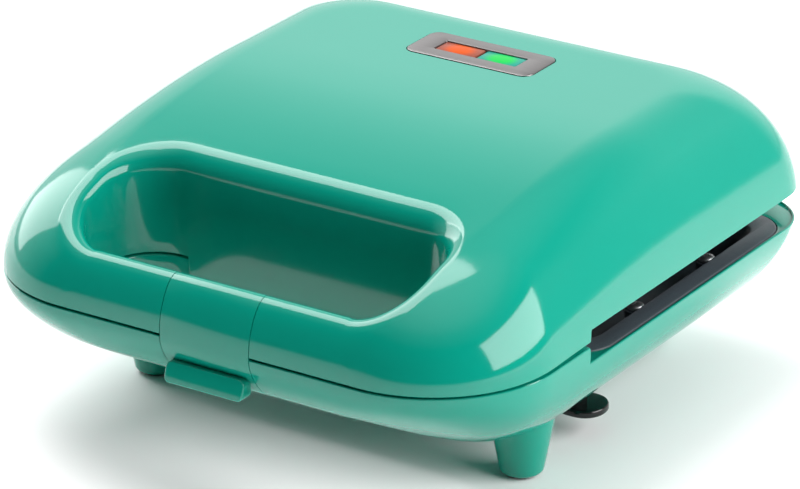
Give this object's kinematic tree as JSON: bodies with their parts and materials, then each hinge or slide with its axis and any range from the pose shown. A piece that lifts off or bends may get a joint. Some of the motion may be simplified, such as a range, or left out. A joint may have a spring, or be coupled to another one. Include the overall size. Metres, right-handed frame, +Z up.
{
  "type": "snack maker",
  "caption": "Countertop snack maker: hinged domed lid with latch and through handle over a base with ridged cooking plates, short feet and cord hooks.",
  "frame": {"origin": "centre of the whole part's bounding box on the surface it stands on, under the rubber foot pads", "axes": "+X to the right seen from the handle, +Y from the handle to the hinge, +Z up"},
  "size_m": [0.23, 0.247, 0.1132],
  "materials": {
    "turquoise_plastic": "moulded, high gloss",
    "non_stick_coating": "die-cast, dark satin non-stick coating",
    "black_plastic": "moulded, semi-gloss",
    "pad_rubber": "matte",
    "bright_steel": "bright zinc-plated",
    "pan_sheet": "pressed sheet, satin",
    "element_steel": "heat-darkened tube",
    "brushed_bezel": "fine brushed along its length",
    "amber_lens": "translucent, glossy",
    "green_lens": "translucent, glossy",
    "ceramic": "unglazed ceramic",
    "sleeve_white": "woven glass sleeve"
  },
  "bodies": {
    "base": {"lower_cooking_plate": "non_stick_coating", "lower_plate_screw_1": "bright_steel", "lower_plate_screw_2": "bright_steel", "lower_plate_screw_3": "bright_steel", "lower_plate_screw_4": "bright_steel", "base_shell": "turquoise_plastic", "base_frame": "turquoise_plastic", "hinge_pin_left": "bright_steel", "hinge_pin_right": "bright_steel", "lower_heating_element": "element_steel", "lower_reflector_pan": "pan_sheet", "lower_pan_screw_1": "bright_steel", "lower_pan_screw_2": "bright_steel", "lower_pan_screw_3": "bright_steel", "lower_pan_screw_4": "bright_steel", "terminal_block": "ceramic", "cord_gland": "black_plastic", "foot_front_left": "turquoise_plastic", "foot_front_right": "turquoise_plastic", "foot_rear_left": "turquoise_plastic", "foot_rear_right": "turquoise_plastic", "foot_pad_front_left": "pad_rubber", "foot_pad_front_right": "pad_rubber", "foot_pad_rear_left": "pad_rubber", "foot_pad_rear_right": "pad_rubber", "cord_hook_right": "black_plastic", "cord_hook_left": "black_plastic"},
    "lid": {"upper_cooking_plate": "non_stick_coating", "upper_plate_screw_1": "bright_steel", "upper_plate_screw_2": "bright_steel", "upper_plate_screw_3": "bright_steel", "upper_plate_screw_4": "bright_steel", "lid_shell": "turquoise_plastic", "lid_frame": "turquoise_plastic", "latch_pin": "bright_steel", "upper_heating_element": "element_steel", "upper_reflector_pan": "pan_sheet", "upper_pan_screw_1": "bright_steel", "upper_pan_screw_2": "bright_steel", "upper_pan_screw_3": "bright_steel", "upper_pan_screw_4": "bright_steel", "thermostat": "ceramic", "thermal_fuse": "sleeve_white", "indicator_bezel": "brushed_bezel", "power_lens": "amber_lens", "ready_lens": "green_lens", "lamp_holder": "black_plastic", "ready_lamp": "sleeve_white", "power_lamp": "sleeve_white", "lamp_holder_screw_1": "bright_steel", "lamp_holder_screw_2": "bright_steel"},
    "latch": {"latch_clip": "turquoise_plastic"}
  },
  "joints": [
    {"name": "lid_hinge", "type": "hinge", "parent": "base", "child": "lid", "pos_m": [0, 0.119, 0.0607], "axis": [-1, 0, 0], "range_deg": [0, 100]},
    {"name": "latch_hinge", "type": "hinge", "parent": "lid", "child": "latch", "pos_m": [0, -0.1108, 0.0752], "axis": [-1, 0, 0], "range_deg": [0, 35]}
  ]
}
